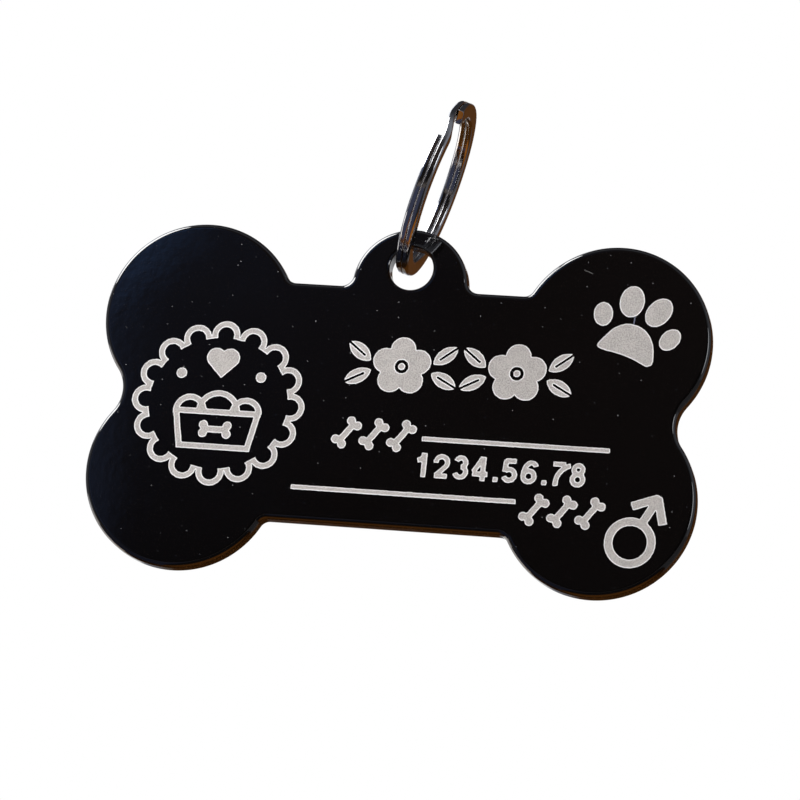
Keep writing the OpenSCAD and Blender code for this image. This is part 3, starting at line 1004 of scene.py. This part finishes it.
# Sky round the tag: its colour at the sides, and patches laid over it in this order. A patch has its
# own colour up to one angle from its direction, and fades out to the next. Angles are in degrees.
SKY_COLOUR = (0.22, 0.23, 0.26)
SKY_PATCHES = {
    "dark_front": dict(azimuth=0, elevation=5, full=25, gone=75, colour=(0.009, 0.0075, 0.0070)),
    "warm_above": dict(azimuth=0, elevation=30, full=8, gone=25, colour=(0.034, 0.026, 0.024)),
    "blue_haze": dict(azimuth=-24, elevation=23, full=3, gone=16, colour=(0.040, 0.050, 0.085)),
    "blue_disc": dict(azimuth=-22, elevation=19, full=7.1, gone=7.85, colour=(0.110, 0.215, 0.480)),
    "dim_disc": dict(azimuth=-27, elevation=12, full=10.9, gone=11.7, colour=(0.065, 0.090, 0.170)),
    "dim_back": dict(azimuth=180, elevation=58, full=20, gone=50, colour=(0.03, 0.03, 0.035)),
    "brown_back": dict(azimuth=150, elevation=8, full=22, gone=48, colour=(0.09, 0.035, 0.010)),
}


def with_patch(tree, ray, sky, azimuth, elevation, full, gone, colour):
    """The sky with a patch of a colour over it, round a direction."""
    near = tree.measure("DOT_PRODUCT", ray, toward(azimuth, elevation))
    span = (math.cos(math.radians(gone)), math.cos(math.radians(full)))
    return tree.mix(tree.remap(near, span, (0, 1), smooth=True), sky, colour)


def make_world():
    """White where the camera looks past the stage; a dim sky lights the tag and mirrors in it."""
    world = bpy.data.worlds.new("sky")
    bpy.context.scene.world = world
    tree = Tree(world)
    ray = tree.add("TexCoord").outputs["Generated"]
    sky = SKY_COLOUR
    for patch in SKY_PATCHES.values():
        sky = with_patch(tree, ray, sky, **patch)
    camera_ray = tree.add("LightPath").outputs["Is Camera Ray"]
    background = tree.add("Background", {"Color": tree.mix(camera_ray, sky, WHITE)})
    tree.add("OutputWorld", {"Surface": background.outputs[0]})


# Soft lamps: direction in degrees, distance and size in metres. Gloss doesn't mirror the key lamp.
LAMPS = {
    "key_lamp": dict(azimuth=-44, elevation=41, distance=0.34, width=0.26, height=0.26,
                     radiance=13.5, mirrored=False),
    "left_window": dict(azimuth=-73, elevation=45, distance=0.5, width=0.37, height=0.34, radiance=8),
    "left_card": dict(azimuth=-128, elevation=38, distance=0.5, width=0.50, height=0.34,
                      radiance=1.2, colour=(0.92, 0.94, 1.0)),
    "low_card": dict(azimuth=-108, elevation=-22, distance=0.5, width=0.62, height=0.38,
                     radiance=1.4, colour=(1.0, 0.95, 0.92)),
    "right_fill": dict(azimuth=54, elevation=12, distance=0.8, width=0.20, height=0.40,
                       radiance=2.3, colour=(0.92, 0.95, 1.0)),
}


def area_lamp(name, azimuth, elevation, distance, width, height, radiance, colour=WHITE, mirrored=True):
    """Soft oval lamp that faces the tag. Its power follows from its size and its radiance."""
    light = bpy.data.lights.new(name, "AREA")
    light.shape = "ELLIPSE"
    light.size, light.size_y = width, height
    light.energy = radiance * math.pi * width * height * math.pi / 4
    light.color = colour
    lamp = bpy.data.objects.new(name, light)
    bpy.context.scene.collection.objects.link(lamp)
    lamp.location = PLATE_AT + toward(azimuth, elevation) * distance
    lamp.rotation_euler = (PLATE_AT - lamp.location).to_track_quat("-Z", "Y").to_euler()
    lamp.visible_camera = False
    lamp.visible_glossy = mirrored


def make_lights():
    for name, values in LAMPS.items():
        area_lamp(name, **values)


# Camera, fitted to the outline in the photograph: place in metres, turn in degrees, lens in millimetres
CAMERA_FROM_PLATE = (0.07160, -0.34546, -0.08549)
CAMERA_TURN = (103.8273, -6.2689, 10.1469)
CAMERA_LENS = 202.5
CAMERA_SENSOR = 36.0
CAMERA_CLIP = 0.01


def make_camera():
    data = bpy.data.cameras.new("photo_camera")
    data.lens = CAMERA_LENS
    data.sensor_width = CAMERA_SENSOR
    data.clip_start = CAMERA_CLIP
    camera = bpy.data.objects.new("photo_camera", data)
    camera.location = PLATE_AT + Vector(CAMERA_FROM_PLATE)
    camera.rotation_euler = Euler([math.radians(a) for a in CAMERA_TURN])
    bpy.context.scene.collection.objects.link(camera)
    bpy.context.scene.camera = camera


def place(piece, body, material, node):
    """Gives a piece its material, its body and the CAD node that it replaces."""
    piece.data.materials.append(material)
    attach(piece, body)
    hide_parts(node)


def make_stage():
    """What is round the tag: floor, board, cards, sky, lamps and camera."""
    make_floor()
    make_backdrop()
    make_brown_cards()
    make_side_cards()
    make_world()
    make_lights()
    make_camera()


def main():
    bpy.context.scene.view_settings.view_transform = "Standard"
    coat, bared, metal = coat_material(), bared_material(), ring_material()
    pieces = make_plate_and_marks()
    place(pieces["plate"], "tag", coat, "tag_plate")
    for node in MARK_NODES:
        place(pieces[node], "tag", bared, node)
    place(make_ring(), "ring", metal, "split_ring")
    for node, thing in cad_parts.items():
        thing.data.materials.clear()
        thing.data.materials.append({"tag_plate": coat, "split_ring": metal}.get(node, bared))
    make_stage()


main()
